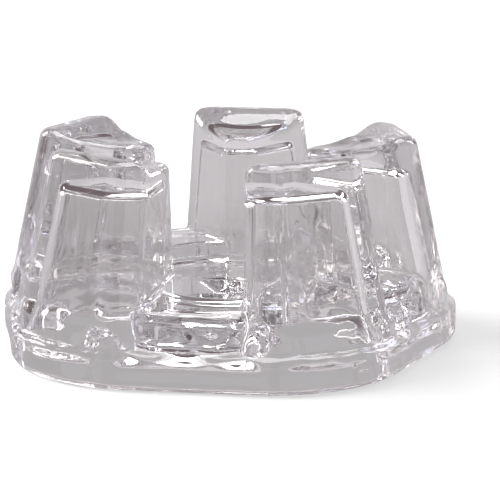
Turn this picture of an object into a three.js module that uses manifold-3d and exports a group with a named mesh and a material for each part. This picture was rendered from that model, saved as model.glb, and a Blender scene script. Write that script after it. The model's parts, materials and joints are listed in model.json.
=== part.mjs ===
// Flower frog of clear pressed glass: a five-lobed base with a round well in the middle,
// five hollow towers round the well and a low web between each two towers.
// The real object is one casting. It is divided here at the places where its thickness
// changes, so that every wall and hollow keeps its own simple solid.
// Millimetres, +Z up. Heights are worked out from the table, and every node is then lowered
// so that the origin is the middle of the well's floor. One tower stands at +Y.
import * as THREE from 'three';
import { mergeVertices } from 'three/addons/utils/BufferGeometryUtils.js';
import Module from 'manifold-3d';

const wasm = await Module();
wasm.setup();

// ---- driving dimensions ----
const count = 5;                    // lobes, towers and webs
const pitch = 2 * Math.PI / count;
const height = 54.4;                // to the rims of the towers
const gap = 0.3;                    // between neighbouring solids
const clear = 2;                    // how far a cutter runs past what it cuts
const early = 0.3;                  // the part of a rounding's size at its middle ring

const lobe = {
  mean: 59.7,                       // mean radius of the base outline
  swing: 2.7,                       // how far it swells at a tower and draws in at a web
  blunt: 0.26,                      // second, faster swing that blunts the tips
  steps: 90,
  top: 9.5,                         // height of the flange
  taper: 0.4,                       // the wall draws in by this from foot to top
  softBottom: 3.2,                  // height of the soft edge at the foot
  softInset: 1.9,                   // how far that edge draws in at the table
  softTop: 1.4,                     // soft edge at the top of the flange
  ledge: 1.6,                       // width of flange left in front of a tower's foot
};

// The shallow recess in the underside, which leaves a ring to stand on.
const recess = {
  ceiling: 6.6,
  ring: 5.2,                        // width of the ring at the foot
  soft: 1.2,
};

const well = {
  radius: 20.9,                     // at the floor of the well
  mouth: 22.1,                      // at the height of the rims
  floor: 15.5,                      // height of the floor
  steps: 60,
};

// Radii and half widths of a tower's wedge plan at the height of its rim, before rounding.
const tower = {
  outer: 49,
  outerHalf: 20.3,
  inner: 20,                        // past the wall of the well, which trims it
  innerHalf: 1.6,
  lean: 0.195,                      // the outer face spreads by this per mm down
  draft: 0.087,                     // the outer corners spread sideways by this per mm down
  innerDraft: 0.03,                 // and the inner ones by this
  corner: 6,                        // radius of the upright edges
  shoulder: 16.5,                   // below this height the outer face flares out
  flare: 3.4,
  softRim: 1.5,
};

// The top of a tower: a flat rim outside, then a step down to a slope towards the well.
const saddle = {
  rimInner: 45.2,
  stepRadius: 35.5,
  stepHeight: 51.9,
  stepPull: 4,                      // length of the curve's handles
  innerRadius: 19,
  innerHeight: 49.3,
};

// The hollow is the tower's own plan, drawn in by the walls.
const hollow = {
  top: 46,
  dome: 3,                          // height of the rounding at the closed end
  outerWall: 4.2,
  sideWall: 3.1,                    // taken off the half width
  inner: 26.2,                      // radius of its inner end
  corner: 4,
};

const web = {
  inner: 22.2,                      // height of the top at the well
  outer: 18.4,                      // height of the top at its outer edge
  radius: 54.6,                     // outer wall at its foot
  wallLean: 0.8,                    // the outer wall draws in by this up to its rounding
  round: 3.4,                       // size of the rounding between top and outer wall
  lip: 1.2,                         // rounding beside the well
};

// ---- helpers ----

/** A closed solid from rings of equally many points, joined in order, with flat ends. */
function loft(rings) {
  const n = rings[0].length;
  const positions = rings.flat().flatMap((p) => [p.x, p.y, p.z]);
  const index = [];
  for (let k = 0; k < rings.length - 1; k++) {
    for (let i = 0; i < n; i++) {
      const a = k * n + i;
      const b = k * n + (i + 1) % n;
      index.push(a, b, b + n, a, b + n, a + n);
    }
  }
  [0, rings.length - 1].forEach((k, end) => {
    const centre = positions.length / 3;
    const mid = rings[k].reduce((sum, p) => sum.add(p), new THREE.Vector3()).divideScalar(n);
    positions.push(mid.x, mid.y, mid.z);
    for (let i = 0; i < n; i++) {
      const a = k * n + i;
      const b = k * n + (i + 1) % n;
      if (end === 0) index.push(centre, b, a);
      else index.push(centre, a, b);
    }
  });
  const geometry = new THREE.BufferGeometry();
  geometry.setAttribute('position', new THREE.Float32BufferAttribute(positions, 3));
  geometry.setIndex(index);
  return geometry;
}

/** Wedge plan with rounded corners along +Y, from (inner, innerHalf) to (outer, outerHalf). */
function wedgeRing({ inner, innerHalf, outer, outerHalf, corner }, z) {
  const corners = [
    new THREE.Vector2(-innerHalf, inner),
    new THREE.Vector2(innerHalf, inner),
    new THREE.Vector2(outerHalf, outer),
    new THREE.Vector2(-outerHalf, outer),
  ];
  const most = 0.45;                // of a side's length that one rounding may take
  const path = new THREE.Path();
  corners.forEach((c, i) => {
    const before = corners[(i + 3) % 4].clone().sub(c);
    const after = corners[(i + 1) % 4].clone().sub(c);
    const wanted = corner / Math.tan(before.angleTo(after) / 2);
    const reach = Math.min(wanted, most * before.length(), most * after.length());
    const start = c.clone().addScaledVector(before.normalize(), reach);
    const end = c.clone().addScaledVector(after.normalize(), reach);
    if (i === 0) path.moveTo(start.x, start.y);
    else path.lineTo(start.x, start.y);
    path.quadraticCurveTo(c.x, c.y, end.x, end.y);
  });
  return path.getPoints(4).map((p) => new THREE.Vector3(p.x, p.y, z));
}

/** The base outline, drawn in by inset: a circle with two cosine swings round it. */
function lobeRing(inset, z) {
  return Array.from({ length: lobe.steps }, (_, i) => {
    const a = 2 * Math.PI * i / lobe.steps;
    const turn = count * (a - Math.PI / 2);
    const r = lobe.mean + lobe.swing * Math.cos(turn) - lobe.blunt * Math.cos(2 * turn) - inset;
    return new THREE.Vector3(r * Math.cos(a), r * Math.sin(a), z);
  });
}

function solid(geometry) {
  const bare = geometry.clone();
  bare.deleteAttribute('normal');
  bare.deleteAttribute('uv');
  const merged = mergeVertices(bare, 1e-4);
  return new wasm.Manifold(new wasm.Mesh({
    numProp: 3,
    vertProperties: new Float32Array(merged.attributes.position.array),
    triVerts: new Uint32Array(merged.index.array),
  }));
}

function turned(geometry, angle) {
  return geometry.clone().rotateZ(angle);
}

function node(name, shape, color) {
  const { vertProperties, triVerts, numProp } = shape.getMesh();
  const positions = new Float32Array(triVerts.length * 3);
  triVerts.forEach((v, i) => positions.set(vertProperties.slice(v * numProp, v * numProp + 3), i * 3));
  const geometry = new THREE.BufferGeometry();
  geometry.setAttribute('position', new THREE.BufferAttribute(positions, 3));
  geometry.computeVertexNormals();
  const material = new THREE.MeshStandardMaterial({ color, roughness: 0.05, metalness: 0 });
  const mesh = new THREE.Mesh(geometry, material);
  mesh.name = name;
  mesh.position.z = -well.floor;
  return mesh;
}

// ---- the shapes, each made once along +Y and turned into place ----

/** Plan of a tower at a height, moved out by grow at the outer face and at the sides. */
function towerPlan(z, grow, side) {
  const down = height - z;
  return {
    inner: tower.inner,
    innerHalf: tower.innerHalf + tower.innerDraft * down + side,
    outer: tower.outer + tower.lean * down + grow,
    outerHalf: tower.outerHalf + tower.draft * down + side,
    corner: tower.corner,
  };
}

/** The outside of a tower from height low to the rim, grown by extra all round in plan. */
function towerOutside(low, extra) {
  const ring = (z, flare, soft) => wedgeRing(towerPlan(z, flare + extra - soft, extra - soft), z);
  return loft([
    ring(low, tower.flare, 0),
    ring((low + tower.shoulder) / 2, tower.flare * early, 0),
    ring(tower.shoulder, 0, 0),
    ring(height - tower.softRim, 0, 0),
    ring(height - tower.softRim * early, 0, tower.softRim * early),
    ring(height, 0, tower.softRim),
  ]);
}

/** What the saddle takes off a tower's top: its side profile carried across the tower. */
function saddleCut() {
  const side = new THREE.Shape();
  side.moveTo(saddle.rimInner, height + clear);
  side.lineTo(saddle.rimInner, height);
  side.bezierCurveTo(
    saddle.rimInner - saddle.stepPull, height,
    saddle.stepRadius + saddle.stepPull, saddle.stepHeight,
    saddle.stepRadius, saddle.stepHeight,
  );
  side.lineTo(saddle.innerRadius, saddle.innerHeight);
  side.lineTo(saddle.innerRadius, height + clear);
  const width = 2 * (tower.outerHalf + tower.corner);
  const geometry = new THREE.ExtrudeGeometry(side, { depth: width, bevelEnabled: false, curveSegments: 8 });
  // The profile's x is the distance from the axis and its y is the height.
  geometry.applyMatrix4(new THREE.Matrix4().makeBasis(
    new THREE.Vector3(0, 1, 0),
    new THREE.Vector3(0, 0, 1),
    new THREE.Vector3(1, 0, 0),
  ));
  geometry.translate(-width / 2, 0, 0);
  return geometry;
}

/** The hollow pressed up into a tower from below, with a rounded closed end. */
function hollowCut(low) {
  const ring = (z, soft) => {
    const plan = towerPlan(z, -hollow.outerWall - soft, -hollow.sideWall - soft);
    const slope = (plan.outerHalf - plan.innerHalf) / (plan.outer + hollow.outerWall - plan.inner);
    const inner = hollow.inner + soft;
    return wedgeRing({
      inner,
      innerHalf: plan.innerHalf + slope * (inner - plan.inner),
      outer: plan.outer,
      outerHalf: plan.outerHalf - slope * hollow.outerWall,
      corner: hollow.corner,
    }, z);
  };
  return loft([
    ring(low, 0),
    ring(hollow.top - hollow.dome, 0),
    ring(hollow.top - hollow.dome * early, hollow.dome * early),
    ring(hollow.top, hollow.dome),
  ]);
}

/** The round well, from height low to above the towers, wider towards the top. */
function wellCut(low) {
  const top = height + clear;
  const geometry = new THREE.CylinderGeometry(well.mouth, well.radius, top - low, well.steps);
  return geometry.rotateX(Math.PI / 2).translate(0, 0, (top + low) / 2);
}

/** The ring that the webs are cut from: its section carried round the axis. */
function webRing() {
  const low = lobe.top + gap;
  const inner = well.radius - clear;
  const section = [
    [inner, low],
    [web.radius, low],
    [web.radius - web.wallLean, web.outer - web.round],
    [web.radius - web.wallLean - early * web.round, web.outer - early * web.round],
    [web.radius - web.wallLean - web.round, web.outer],
    [well.radius + 2 * web.lip, web.inner],
    [inner, web.inner - web.lip],
    [inner, low],
  ].map(([r, z]) => new THREE.Vector2(r, z));
  return new THREE.LatheGeometry(section, lobe.steps).rotateX(Math.PI / 2);
}

/** A sector of the full height between two tower directions, for picking out one web. */
function sector(angle) {
  const reach = 1.5 * lobe.mean;
  const ring = (z) => [
    new THREE.Vector3(0, 0, z),
    new THREE.Vector3(reach * Math.cos(angle - pitch / 2), reach * Math.sin(angle - pitch / 2), z),
    new THREE.Vector3(reach * Math.cos(angle), reach * Math.sin(angle), z),
    new THREE.Vector3(reach * Math.cos(angle + pitch / 2), reach * Math.sin(angle + pitch / 2), z),
  ];
  return loft([ring(-clear), ring(height + clear)]);
}

// ---- assembly ----
const group = new THREE.Group();
const glass = 0xc6c2c4;
const towerPlaces = ['back', 'left', 'front_left', 'front_right', 'right'];
const webPlaces = ['back_left', 'left', 'front', 'right', 'back_right'];

// Base: the flange with soft edges, and the floor of the well standing up inside it. The
// underside is recessed, and the towers' hollows run down through it.
const flange = solid(loft([
  lobeRing(lobe.softInset, 0),
  lobeRing(lobe.softInset * early, lobe.softBottom * early),
  lobeRing(0, lobe.softBottom),
  lobeRing(lobe.taper, lobe.top - lobe.softTop),
  lobeRing(lobe.taper + lobe.softTop * early, lobe.top - lobe.softTop * early),
  lobeRing(lobe.taper + lobe.softTop, lobe.top),
]));
const recessSolid = solid(loft([
  lobeRing(recess.ring, -clear),
  lobeRing(recess.ring, recess.ceiling - recess.soft),
  lobeRing(recess.ring + recess.soft, recess.ceiling),
]));
const floorRadius = well.radius - gap;
const floorHeight = well.floor - recess.ceiling;
const floorBlock = new THREE.CylinderGeometry(floorRadius, floorRadius, floorHeight, well.steps)
  .rotateX(Math.PI / 2)
  .translate(0, 0, recess.ceiling + floorHeight / 2);
let base = flange.subtract(recessSolid).add(solid(floorBlock));
for (let i = 0; i < count; i++) {
  base = base.subtract(solid(turned(hollowCut(-clear), i * pitch)));
}
group.add(node('base', base, glass));

// Towers: wedge blocks trimmed by the well and the flange's edge, then hollowed from below.
const low = lobe.top + gap;
const wellSolid = solid(wellCut(low - clear));
const withinFlange = solid(loft([lobeRing(lobe.ledge, 0), lobeRing(lobe.ledge, height + clear)]));
const towerBlock = solid(towerOutside(low, 0))
  .subtract(wellSolid)
  .subtract(solid(saddleCut()))
  .subtract(solid(hollowCut(low - clear)))
  .intersect(withinFlange);
towerPlaces.forEach((place, i) => {
  const mesh = node(`tower_${place}`, towerBlock, glass);
  mesh.rotation.z = i * pitch;
  group.add(mesh);
});

// Webs: what is left of the ring between two towers, each clear of them by the gap.
const nearTower = towerOutside(low - clear, gap);
const webBlock = solid(webRing())
  .intersect(solid(sector(Math.PI / 2)))
  .subtract(solid(turned(nearTower, pitch / 2)))
  .subtract(solid(turned(nearTower, -pitch / 2)))
  .subtract(wellSolid);
webPlaces.forEach((place, i) => {
  const mesh = node(`web_${place}`, webBlock, glass);
  mesh.rotation.z = (i + 0.5) * pitch;
  group.add(mesh);
});

export default group;
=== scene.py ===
import bpy
import json
import math
import numpy as np
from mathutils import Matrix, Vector

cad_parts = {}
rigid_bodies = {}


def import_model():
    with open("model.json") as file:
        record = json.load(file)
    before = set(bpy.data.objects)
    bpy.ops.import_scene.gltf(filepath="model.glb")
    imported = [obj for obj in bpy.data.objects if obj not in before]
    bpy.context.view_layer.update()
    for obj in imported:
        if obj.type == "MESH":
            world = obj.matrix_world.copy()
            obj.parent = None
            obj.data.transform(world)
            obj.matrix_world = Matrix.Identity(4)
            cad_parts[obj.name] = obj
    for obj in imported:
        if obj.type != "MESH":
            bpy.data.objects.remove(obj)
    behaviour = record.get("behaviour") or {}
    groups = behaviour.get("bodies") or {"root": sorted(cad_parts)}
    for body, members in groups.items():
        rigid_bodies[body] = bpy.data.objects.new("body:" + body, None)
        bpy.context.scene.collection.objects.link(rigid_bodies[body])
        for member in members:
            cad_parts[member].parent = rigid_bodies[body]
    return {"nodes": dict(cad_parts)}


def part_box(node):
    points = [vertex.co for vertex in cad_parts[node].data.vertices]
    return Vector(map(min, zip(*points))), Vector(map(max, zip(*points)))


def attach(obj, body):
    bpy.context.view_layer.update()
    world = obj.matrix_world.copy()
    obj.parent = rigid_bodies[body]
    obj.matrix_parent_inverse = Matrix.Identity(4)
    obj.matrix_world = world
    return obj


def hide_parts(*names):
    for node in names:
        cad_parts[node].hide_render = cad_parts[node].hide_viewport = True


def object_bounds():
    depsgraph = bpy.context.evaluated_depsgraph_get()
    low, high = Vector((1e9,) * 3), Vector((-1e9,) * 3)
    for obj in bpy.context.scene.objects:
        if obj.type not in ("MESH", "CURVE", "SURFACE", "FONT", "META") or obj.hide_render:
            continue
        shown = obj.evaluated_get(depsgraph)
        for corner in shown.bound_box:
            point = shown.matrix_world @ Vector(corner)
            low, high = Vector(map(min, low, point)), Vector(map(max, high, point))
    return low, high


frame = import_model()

# The frog is one casting of clear pressed glass, so one closed skin carries its whole look.
# Lengths are millimetres, angles are radians, and heights are counted from the table.
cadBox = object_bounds()
table = cadBox[0][2] * 1000
lobes = 5
pitch = 2 * math.pi / lobes
cadGap = 0.3                           # between the base and the webs that stand on it


# height above the table of a node's lowest (0) or highest (1) corner
def heightOf(node, end):
    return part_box(node)[end][2] * 1000 - table


body = {
    "rimHeight": heightOf("tower_back", 1),
    "lobe": (59.72, 2.66, 0.26),       # mean radius, swell at the towers, blunting of the tips
    "flangeTop": heightOf("web_front", 0) - cadGap,
    "flangeRound": (2.0, 2.4),         # fire-polished edge at the top and at the foot of the flange
    "recess": (6.6, 5.6, 0.1),         # height of its ceiling, ring round it, draft of its wall
    "recessRound": (2.4, 1.5),         # round its ceiling, and where it meets the hollows
    "floor": heightOf("base", 1),      # floor of the well
    "wellRadius": 20.9,
    "wellSpread": 0.03,                # the well widens by this per mm up
    "wellRound": 2.0,                  # where its wall meets its floor
    "webHeight": (21.2, 18.8),         # top of a web at the well and at its outer edge
    "webWall": (54.6, 0.12, 3.6),      # radius at its foot, draw-in per mm up, rounding above
    "outerFace": (49.05, 0.195),       # radius of a tower's outer face at the rim, spread per mm down
    "outerHalf": (20.35, 0.087),       # sharp half width there, spread per mm down
    "innerHalf": (22.0, 2.7, 0.03),    # radius, half width and spread at the inner end
    "sideCosine": -0.545,              # between the normals of a side and of the outer face
    "towerRound": 6.0,                 # upright edges
    "rimRound": 2.2,
    "saddleRadii": (36.0, 44.8),       # the step down from the rim lies between these
    "saddleHeights": (49.6, 51.3),     # at the well and at the foot of the step
    "dish": (1.0, 33.0, 8.5, 10.0),    # depth, middle and reaches of the oval dip in the slope
    "foot": (15.8, 57.4, 0.3, 2.2),    # top of a tower's foot, its radius there, slope, rounding
    "ledge": (1.9, 1.5),               # flange left in front of the foot, rounding above it
    "seat": (4, 1.0),                  # how far a tower reaches into the flange, rounding there
    "hollowTop": 46.0,
    "wall": (4.2, 3.1),                # glass at the outer face, and off the half width at the sides
    "hollowInner": 26.2,
    "hollowRound": (4.8, 2.6, 2.0),    # outer upright edges, closed end, inner upright edges
    "fillet": (2.4, 1.0, 1.2),         # foot of a web, foot of a tower, mouths of well and hollows
    "streak": 0.07,                    # height of the upright streaks on the towers
    "streakZone": (22, 5, 42, 6, 24, 3),  # low and high end and inner radius, each with its fade
    "ripple": 0.34,                    # height of the waves in the feet
    "rippleZone": (7, 3, 19, 4, 49, 5),
    "fineRipple": 0.35,                # share of the shorter waves among them
    "mark": (-0.867, 61.0, 4.2, 0.3),  # mould mark on the flange: angle, radius, height, depth
    "step": 0.9,                       # grid that the skin is drawn on
    "relax": 4,                        # rounds of evening out its points
}


# Height above what lies inside both surfaces, with the edge between them rounded. The cosine
# is that of the angle between their normals. Both surfaces are drawn in by the radius. Beyond
# both, the distance to the line in which they meet counts, less the radius; elsewhere the
# larger height counts, less the radius.
def inBoth(a, b, radius, cosine=0.0):
    a, b = a + radius, b + radius
    edge = (a > cosine * b) & (b > cosine * a)
    away = np.sqrt(np.maximum(a * a + b * b - 2 * cosine * a * b, 0) / (1 - cosine ** 2))
    return np.where(edge, away, np.maximum(a, b)) - radius


# Height above what lies inside either surface, with a hollow fillet where they meet: the
# distance still left to both surfaces is measured from the fillet's centre line.
def inEither(a, b, radius):
    left = np.hypot(np.maximum(radius - a, 0), np.maximum(radius - b, 0))
    return np.maximum(np.minimum(a, b), radius) - left


# Height above a tower's side, drawn in by a wall: the half width runs in a straight line from
# the inner end to the outer face, and both ends spread with the depth below the rim.
def aboveSide(r, t, down, wall):
    inner, innerHalf, innerSpread = body["innerHalf"]
    outer = body["outerFace"][0] + body["outerFace"][1] * down
    low = innerHalf + innerSpread * down
    high = body["outerHalf"][0] + body["outerHalf"][1] * down
    slope = (high - low) / (outer - inner)
    return (t - low - slope * (r - inner) + wall) / np.sqrt(1 + slope ** 2)


# Height above a flat face that leans out by lean per mm down.
def aboveFace(r, down, radius, lean):
    return (r - radius - lean * down) / math.hypot(1, lean)


# Radius of the base outline: a circle with two cosine swings, the second of which blunts the lobes.
def lobeRadius(turn):
    mean, swell, blunt = body["lobe"]
    return mean + swell * np.cos(lobes * turn) - blunt * np.cos(2 * lobes * turn)


# Top of a tower: flat at the rim, then an S-shaped step down to a slope towards the well with
# an oval dip in it. Three squares less two cubes of the way along make the S.
def saddleTop(r, t):
    s = body
    near, far = s["saddleRadii"]
    step = np.clip((r - near) / (far - near), 0, 1)
    depth, middle, reachIn, reachAcross = s["dish"]
    oval = ((r - middle) / reachIn) ** 2 + (t / reachAcross) ** 2
    slope = np.interp(r, (s["wellRadius"], near), s["saddleHeights"])
    slope = slope - depth * np.clip(1 - oval, 0, 1) ** 1.5
    return slope + (s["rimHeight"] - slope) * step * step * (3 - 2 * step)


# One inside a zone and zero outside: it fades in a straight line over each reach.
def zone(z, rho, low, lowReach, high, highReach, inner, innerReach):
    inHeight = np.clip((z - low) / lowReach, 0, 1) * np.clip((high - z) / highReach, 0, 1)
    return inHeight * np.clip((rho - inner) / innerReach, 0, 1)


# Pressed glass is never quite even. A streak runs up about every 5 mm round the towers and
# wanders a little; the feet carry waves 14 mm long with shorter ones of 10 mm on them. All
# are products of sines. The mould mark is a short bent nick beside a flat tail.
def unevenness(x, y, z, rho, turn):
    s = body
    streak = np.sin(turn * 57 + 2.4 * np.sin(turn * 7 + z * 0.02))
    streak = streak * (0.6 + 0.4 * np.sin(z * 0.13 + turn * 11))
    ripple = np.sin(x * 0.45 + 1.3 * np.sin(y * 0.25)) * np.sin(y * 0.41 + 0.9 * np.sin(z * 0.35 + 1.0))
    ripple += (s["fineRipple"] * np.sin(x * 0.62 + 1.5 * np.sin(y * 0.3))
               * np.sin(y * 0.55 + 1.2 * np.sin(x * 0.21 + z * 0.35)))
    angle, radius, height, depth = s["mark"]
    along = x * -math.sin(angle) + y * math.cos(angle)
    outward = x * math.cos(angle) + y * math.sin(angle)
    near = np.exp(-((outward - radius) / 2) ** 2)
    nick = np.exp(-((along - 0.12 * (z - height) ** 2 + 0.6) / 0.55) ** 2 - ((z - height) / 2.0) ** 4)
    tail = np.exp(-((along - 2.4) / 1.6) ** 4 - ((z - height) / 0.5) ** 2)
    waves = (s["streak"] * zone(z, rho, *s["streakZone"]) * streak
             + s["ripple"] * zone(z, rho, *s["rippleZone"]) * ripple)
    return waves + depth * near * (nick + tail)


# Height of a point above the glass: negative in the glass and zero on its surface. Flange,
# webs, and towers with their feet are joined; well, hollows and recess are taken off.
def aboveGlass(p):
    x, y, z = p
    s = body
    rho = np.hypot(x, y)
    turn = np.arctan2(y, x) - math.pi / 2
    fold = np.mod(turn + pitch / 2, pitch) - pitch / 2
    r, t = rho * np.cos(fold), np.abs(rho * np.sin(fold))
    down = s["rimHeight"] - z
    rim = rho - lobeRadius(turn)
    footFillet, towerFillet, mouthFillet = s["fillet"]

    glass = inBoth(rim, z - s["flangeTop"], s["flangeRound"][0])
    radius, drawIn, rounding = s["webWall"]
    webTop = np.interp(rho, (s["wellRadius"], radius), s["webHeight"])
    web = inBoth(rho - radius + drawIn * (z - s["flangeTop"]), z - webTop, rounding)
    glass = inEither(glass, web, footFillet)

    # a tower seen from its side: the leaning face above and the sloping foot below
    footTop, footRadius, footSlope, footRound = s["foot"]
    foot = inBoth(aboveFace(r, footTop - z, footRadius, footSlope), z - footTop, footRound)
    face, lean = s["outerFace"]
    front = inEither(aboveFace(r, down, face, lean), foot, footRound)
    tower = inBoth(aboveSide(r, t, down, 0.0), front, s["towerRound"], s["sideCosine"])
    ledge, ledgeRound = s["ledge"]
    seat, seatRound = s["seat"]
    tower = inBoth(tower, rim + ledge, ledgeRound)
    tower = inBoth(tower, s["flangeTop"] - seat - z, seatRound)
    tower = inBoth(tower, z - saddleTop(r, t), s["rimRound"])
    glass = inEither(glass, tower, towerFillet)

    well = rho - s["wellRadius"] - s["wellSpread"] * (z - s["floor"])
    glass = inBoth(glass, -inBoth(well, s["floor"] - z, s["wellRound"]), mouthFillet)
    glass = inBoth(glass, -z, s["flangeRound"][1])

    outerRound, endRound, innerRound = s["hollowRound"]
    outerWall, sideWall = s["wall"]
    hollow = inBoth(aboveSide(r, t, down, sideWall), aboveFace(r, down, face - outerWall, lean),
                    outerRound, s["sideCosine"])
    hollow = inBoth(hollow, s["hollowInner"] - r, innerRound)
    hollow = inBoth(hollow, z - s["hollowTop"], endRound)
    ceiling, ring, draft = s["recess"]
    ceilingRound, meetingRound = s["recessRound"]
    hollow = inEither(hollow, inBoth(rim + ring + draft * z, z - ceiling, ceilingRound), meetingRound)
    return inBoth(glass, -hollow, mouthFillet) + unevenness(x, y, z, rho, turn)


# Gradient of a field by central differences.
def slopeOf(field, p, h=0.02):
    parts = []
    for axis in range(3):
        shift = np.zeros((3, 1))
        shift[axis] = h
        parts.append((field(p + shift) - field(p - shift)) / (2 * h))
    return np.array(parts)


# Moves points along the gradient until the field is zero there, at most `most` mm at a time.
def settle(field, p, rounds=3, most=0.8):
    for _ in range(rounds):
        g = slopeOf(field, p)
        steepness = np.maximum((g * g).sum(0), 0.05)     # never so small that a point shoots away
        p = p - g * np.clip(field(p) / steepness, -most, most)
    return p


# Closed skin of a field, because no single two-parameter grid covers a casting with five
# hollows. Each grid cell that the surface crosses gets one point, and each crossed grid edge
# a face of the four points round it. The points are evened out, by a blend with the mean of
# their neighbours, and settled on the surface.
def skin(field, low, high, step, relax, blend=0.6):
    axes = [np.arange(a, b + step, step) for a, b in zip(low, high)]
    grid = np.meshgrid(*axes, indexing="ij")
    inside = field(np.array([g.ravel() for g in grid])).reshape(grid[0].shape) < 0
    half = [slice(0, -1), slice(1, None)]
    total = sum(inside[a, b, c].astype(int) for a in half for b in half for c in half)
    active = (total > 0) & (total < 8)
    number = -np.ones(active.shape, int)
    number[active] = np.arange(active.sum())
    cell = np.array(np.nonzero(active))
    p = settle(field, np.array([axes[k][cell[k]] + step / 2 for k in range(3)]))
    faces = []
    for axis in range(3):
        order = (axis, (axis + 1) % 3, (axis + 2) % 3)
        a, n = (np.moveaxis(values, order, (0, 1, 2)) for values in (inside, number))
        i, j, k = np.nonzero(a[:-1, 1:-1, 1:-1] != a[1:, 1:-1, 1:-1])
        leaves = a[:-1, 1:-1, 1:-1][i, j, k]
        ring = np.array([n[i, j, k], n[i, j + 1, k], n[i, j + 1, k + 1], n[i, j, k + 1]])
        faces.append(np.where(leaves, ring, ring[::-1]).T)
    faces = np.concatenate(faces)
    edges = np.concatenate([faces[:, [k, (k + 1) % 4]] for k in range(4)])
    count = np.bincount(edges.ravel(), minlength=p.shape[1])
    for _ in range(relax):
        mean = np.array([np.bincount(edges[:, 0], row[edges[:, 1]], p.shape[1])
                         + np.bincount(edges[:, 1], row[edges[:, 0]], p.shape[1]) for row in p]) / count
        p = settle(field, (1 - blend) * p + blend * mean, 2)
    return p, faces


# Object at the origin from points in millimetres above the table and faces of four, smooth.
def meshPiece(name, points, faces, normals=None):
    mesh = bpy.data.meshes.new(name)
    mesh.vertices.add(points.shape[1])
    mesh.vertices.foreach_set("co", ((points.T + (0, 0, table)) / 1000.0).ravel())
    mesh.loops.add(faces.size)
    mesh.loops.foreach_set("vertex_index", faces.ravel())
    mesh.polygons.add(len(faces))
    mesh.polygons.foreach_set("loop_start", np.arange(0, faces.size, faces.shape[1]))
    mesh.update(calc_edges=True)
    mesh.validate()
    mesh.shade_smooth()
    if normals is not None:
        mesh.normals_split_custom_set_from_vertices(normals.T)
    piece = bpy.data.objects.new(name, mesh)
    bpy.context.scene.collection.objects.link(piece)
    return piece


margin = 1.4                           # empty grid below and above the glass, in mm
reach = sum(body["lobe"][:2]) + 1.6    # half the width of the grid: the lobes and some room
points, faces = skin(aboveGlass, (-reach, -reach, -margin), (reach, reach, body["rimHeight"] + margin),
                     body["step"], body["relax"])
normals = slopeOf(aboveGlass, points)
normals /= np.linalg.norm(normals, axis=0)
casting = meshPiece("glass_body", points, faces, normals)
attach(casting, "root")
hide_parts(*frame["nodes"])
print("glass body:", points.shape[1], "points,", len(faces), "faces")


# sRGB hex such as 'E0DCDD' as linear red, green, blue and alpha.
def linear(hexColor):
    parts = np.array([int(hexColor[k:k + 2], 16) for k in (0, 2, 4)]) / 255
    low = parts / 12.92
    return (*np.where(parts <= 0.04045, low, ((parts + 0.055) / 1.055) ** 2.4), 1.0)


# Adds a node, sets its properties or inputs, and links its inputs to other outputs.
def addNode(tree, kind, settings=(), links=()):
    node = tree.nodes.new(kind)
    for key, value in dict(settings).items():
        if key in node.inputs:
            node.inputs[key].default_value = value
        else:
            setattr(node, key, value)
    for key, source in dict(links).items():
        tree.links.new(source, node.inputs[key])
    return node


def newMaterial(name):
    material = bpy.data.materials.new(name)
    material.use_nodes = True
    material.node_tree.nodes.clear()
    return material


# Soda-lime glass, pressed in a mould and fire-polished: the flame leaves it glossy and clear,
# so the eye sees it by what it bends; traces of manganese give the faint violet grey.
glassFinish = {
    "tint": "F6F5F5",
    "ior": 1.51,
    "roughness": 0.0,
    "depthTint": "C8C3C8",
    "density": 4.5,                    # per metre, so it only shows through thick glass
}


def pressedGlass():
    material = newMaterial("pressed_soda_lime_glass")
    tree = material.node_tree
    shader = addNode(tree, "ShaderNodeBsdfPrincipled", {
        "Base Color": linear(glassFinish["tint"]),
        "IOR": glassFinish["ior"],
        "Roughness": glassFinish["roughness"],
        "Transmission Weight": 1.0,
    })
    depth = addNode(tree, "ShaderNodeVolumeAbsorption", {
        "Color": linear(glassFinish["depthTint"]),
        "Density": glassFinish["density"],
    })
    addNode(tree, "ShaderNodeOutputMaterial", links={
        "Surface": shader.outputs["BSDF"],
        "Volume": depth.outputs["Volume"],
    })
    return material


casting.data.materials.append(pressedGlass())
print("material: pressed glass")

stage = {
    "floorSize": 6.0,                  # metres
    "paperHeight": -0.1,               # mm above the table
    "paper": ("5A5A5A", 0.60),         # colour, and glow of the light table under it
    "cardHeight": -0.3,
    "card": "FFFCFF",
    "shade": (0.48, 0.66),             # painted brightness of the card: in painted shadow near the glass, and away from it
    "shadeReach": (0.07, 0.2),         # metres from the axis between which it changes
    "wall": "E4E1E4",                  # pale studio walls, up to about 13 degrees
    "ceiling": "73676A",               # dim ceiling, from about 33 degrees
    "wallTop": (0.22, 0.55),           # sines of those angles
}


halfMetre = 500                        # in mm, for what is given by its full width in metres


# Square in a level plane, size metres wide, at a height in mm above the table.
def levelSquare(name, size, height):
    corners = np.array([(-1, -1), (1, -1), (1, 1), (-1, 1)]).T * size * halfMetre
    points = np.vstack([corners, np.full(4, height)])
    return meshPiece(name, points, np.array([[0, 1, 2, 3]]))


# Matt white paper on a light table, as the plain pale ground.
def paperFloor():
    floor = levelSquare("floor", stage["floorSize"], stage["paperHeight"])
    paper = newMaterial("matt_white_paper")
    shader = addNode(paper.node_tree, "ShaderNodeBsdfPrincipled", {
        "Base Color": linear(stage["paper"][0]),
        "Roughness": 0.9,
        "Emission Color": (1.0, 1.0, 1.0, 1.0),
        "Emission Strength": stage["paper"][1],
    })
    addNode(paper.node_tree, "ShaderNodeOutputMaterial", links={"Surface": shader.outputs["BSDF"]})
    floor.data.materials.append(paper)
    floor.visible_glossy = False
    floor.visible_transmission = False
    return floor
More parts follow.
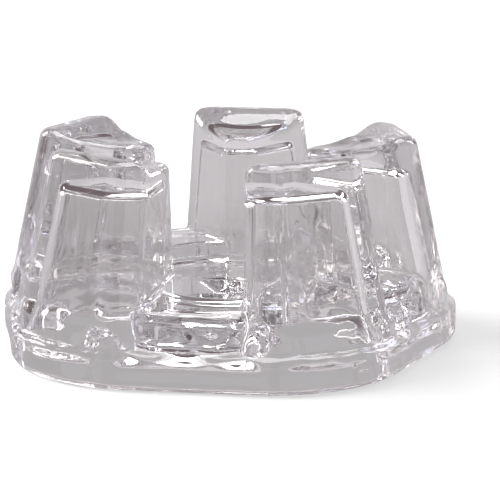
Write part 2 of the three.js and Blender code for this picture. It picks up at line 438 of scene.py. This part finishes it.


# A grey card under the paper, which only the glass mirrors or bends; it glows with a painted
# brightness. It darkens from shadeReach inwards in a straight line, a painted shadow as a table
# has in the soft shade of an object.
def greyCard():
    card = levelSquare("grey_card", stage["floorSize"], stage["cardHeight"])
    finish = newMaterial("grey_card_painted_shade")
    tree = finish.node_tree
    place = addNode(tree, "ShaderNodeTexCoord")
    away = addNode(tree, "ShaderNodeVectorMath", {"operation": "LENGTH"}, {
        "Vector": place.outputs["Object"],
    })
    shade = addNode(tree, "ShaderNodeMapRange", {
        "From Min": stage["shadeReach"][0],
        "From Max": stage["shadeReach"][1],
        "To Min": stage["shade"][0],
        "To Max": stage["shade"][1],
    }, {"Value": away.outputs["Value"]})
    # painted shadow: the card's glow is dimmer near the glass
    shader = addNode(tree, "ShaderNodeEmission", {"Color": linear(stage["card"])}, {
        "Strength": shade.outputs["Result"],
    })
    addNode(tree, "ShaderNodeOutputMaterial", links={"Surface": shader.outputs["Emission"]})
    card.data.materials.append(finish)
    card.visible_camera = False
    card.visible_diffuse = False
    card.visible_shadow = False


# Pale walls that fade smoothly into a dim ceiling, by the height of the direction.
def studioWorld():
    world = bpy.data.worlds.new("studio")
    bpy.context.scene.world = world
    world.use_nodes = True
    sky = world.node_tree
    way = addNode(sky, "ShaderNodeTexCoord")
    parts = addNode(sky, "ShaderNodeSeparateXYZ", links={"Vector": way.outputs["Generated"]})
    fade = addNode(sky, "ShaderNodeMapRange", {
        "interpolation_type": "SMOOTHSTEP",
        "From Min": stage["wallTop"][0],
        "From Max": stage["wallTop"][1],
    }, {"Value": parts.outputs["Z"]})
    tone = addNode(sky, "ShaderNodeMix", {"data_type": "RGBA"}, {"Factor": fade.outputs["Result"]})
    # the sockets A, B and Result for colours come after those for numbers and vectors
    tone.inputs[6].default_value = linear(stage["wall"])
    tone.inputs[7].default_value = linear(stage["ceiling"])
    sky.links.new(tone.outputs[2], sky.nodes["Background"].inputs["Color"])
    sky.nodes["Background"].inputs["Strength"].default_value = 1.0


tableMetres = Vector((0, 0, table / 1000))
middle = tableMetres + Vector((0, 0, 0.02))      # of the glass, which lights and flags face


# Rectangular area light at a place in metres above the table, turned to face the glass.
def softbox(name, place, size, power, color):
    light = bpy.data.lights.new(name, "AREA")
    light.shape = "RECTANGLE"
    light.size, light.size_y = size
    light.energy = power
    light.color = linear(color)[:3]
    lamp = bpy.data.objects.new(name, light)
    lamp.location = Vector(place) + tableMetres
    lamp.rotation_euler = (middle - lamp.location).to_track_quat("-Z", "Y").to_euler()
    bpy.context.scene.collection.objects.link(lamp)


# Soft sun that lights the paper alone, so that the glass throws a faint shadow to the right.
# Azimuth, elevation and softness are degrees; the azimuth is counted from +X towards +Y.
def shadowKey(floor, azimuth, elevation, strength, softness):
    light = bpy.data.lights.new("shadow_key", "SUN")
    light.energy = strength
    light.angle = math.radians(softness)
    lamp = bpy.data.objects.new("shadow_key", light)
    a, e = math.radians(azimuth), math.radians(elevation)
    aim = Vector((math.cos(a) * math.cos(e), math.sin(a) * math.cos(e), math.sin(e)))
    lamp.rotation_euler = aim.to_track_quat("Z", "Y").to_euler()
    bpy.context.scene.collection.objects.link(lamp)
    lit = bpy.data.collections.new("lit_by_shadow_key")
    lit.objects.link(floor)
    lamp.light_linking.receiver_collection = lit


# Dark panel that only the glass sees, so that its edges draw thin dark lines. It stands at a
# place in metres from the origin and faces the glass.
def flag(name, place, size, shade):
    across, up = size
    points = np.array([(-across, -up), (across, -up), (across, up), (-across, up)]).T * halfMetre
    points = np.vstack([points, np.zeros(4)])
    card = meshPiece(name, points, np.array([[0, 1, 2, 3]]))
    card.location = Vector(place)
    card.rotation_euler = (middle - card.location).to_track_quat("Z", "Y").to_euler()
    finish = newMaterial(name + "_felt")
    shader = addNode(finish.node_tree, "ShaderNodeEmission", {"Color": linear(shade)})
    addNode(finish.node_tree, "ShaderNodeOutputMaterial", links={
        "Surface": shader.outputs["Emission"],
    })
    card.data.materials.append(finish)
    card.visible_camera = False
    card.visible_diffuse = False
    card.visible_shadow = False


greyCard()
studioWorld()
softbox("softbox_top", place=(0.1, 0.15, 1.1), size=(0.9, 0.9), power=16, color="FFFFFF")
softbox("softbox_left", place=(-0.85, 0.28, 0.46), size=(0.35, 0.5), power=6, color="FFFAF6")
softbox("softbox_right", place=(0.8, 0.5, 0.6), size=(0.25, 0.6), power=4, color="E4E8FF")
shadowKey(paperFloor(), azimuth=181, elevation=36, strength=18, softness=54)
flag("flag_front", place=(0.0, -0.95, 0.35), size=(0.9, 0.5), shade="4A403C")
flag("flag_left", place=(-1.0, -0.1, 0.1), size=(0.28, 0.5), shade="4E4544")
flag("flag_right", place=(1.0, -0.1, 0.1), size=(0.28, 0.5), shade="4E4544")
print("stage and light")

# The camera stands a little to the right of the axis of one gap and 12 degrees up.
view = {
    "azimuth": 8.657,                  # degrees from -Y towards +X
    "elevation": 12.396,
    "distance": 0.56976,               # metres from the point of the axis on the table
    "right": 0.006883,                 # and from there sideways and upwards
    "up": 0.022785,
    "lens": 153.93,                    # mm
}


def placeCamera():
    a, e = math.radians(view["azimuth"]), math.radians(view["elevation"])
    back = Vector((math.sin(a) * math.cos(e), -math.cos(a) * math.cos(e), math.sin(e)))
    right = Vector((math.cos(a), math.sin(a), 0.0))
    up = back.cross(right)
    data = bpy.data.cameras.new("camera")
    data.lens = view["lens"]
    data.sensor_width = 36.0
    data.clip_start = 0.01
    camera = bpy.data.objects.new("camera", data)
    camera.location = tableMetres + back * view["distance"] + right * view["right"] + up * view["up"]
    camera.rotation_euler = (-back).to_track_quat("-Z", "Y").to_euler()
    bpy.context.scene.collection.objects.link(camera)
    bpy.context.scene.camera = camera


placeCamera()
scene = bpy.context.scene
scene.view_settings.view_transform = "Standard"
scene.cycles.max_bounces = 32                    # light passes many walls of glass
scene.cycles.transmission_bounces = 32
scene.cycles.glossy_bounces = 16
print("camera")
